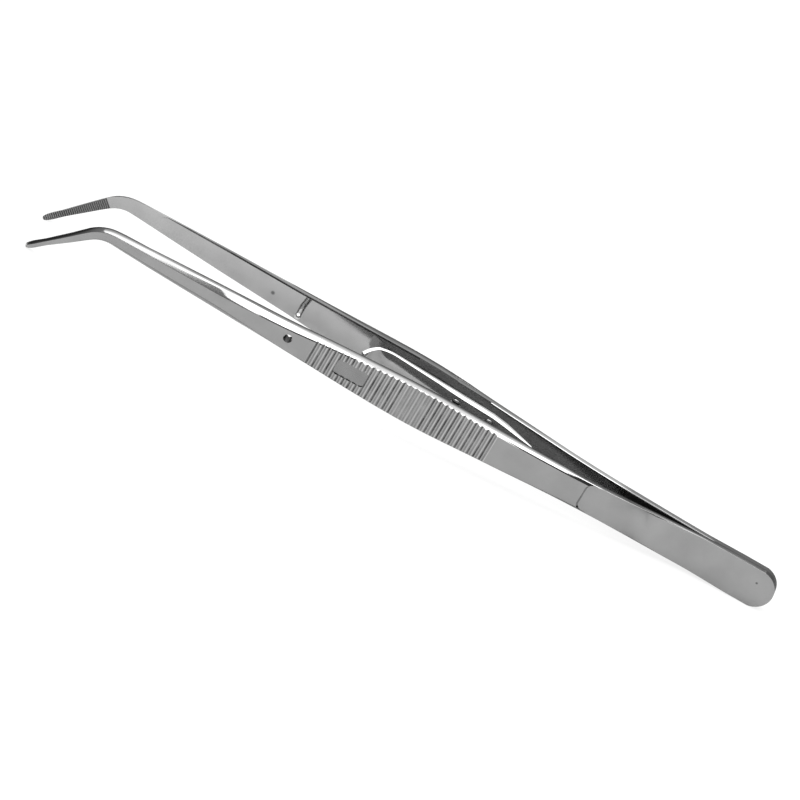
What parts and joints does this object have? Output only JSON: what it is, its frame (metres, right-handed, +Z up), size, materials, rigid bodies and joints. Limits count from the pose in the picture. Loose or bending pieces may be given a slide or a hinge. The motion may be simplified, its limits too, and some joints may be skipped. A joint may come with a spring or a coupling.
{
  "type": "thumb forceps",
  "caption": "Self-locking thumb forceps with angled serrated jaws, ridged grips, a guide pin and a spring latch between two welded steel legs.",
  "frame": {"origin": "centre of the bounding box's bottom face, on the surface that the forceps stands on", "axes": "+X along the length towards the welded handle end, jaws at -X; +Y from the leg with the latch window to the leg with the guide pin; +Z up, across the legs' width, with the jaws bent down"},
  "size_m": [0.15, 0.016, 0.012],
  "materials": {
    "satin_steel": "satin stainless steel",
    "polished_steel": "polished stainless steel"
  },
  "bodies": {
    "root": {"near_leg": "satin_steel", "far_leg": "satin_steel", "guide_pin": "polished_steel", "latch_spring": "polished_steel", "latch_rivets": "polished_steel", "latch_keeper": "satin_steel"}
  },
  "joints": []
}
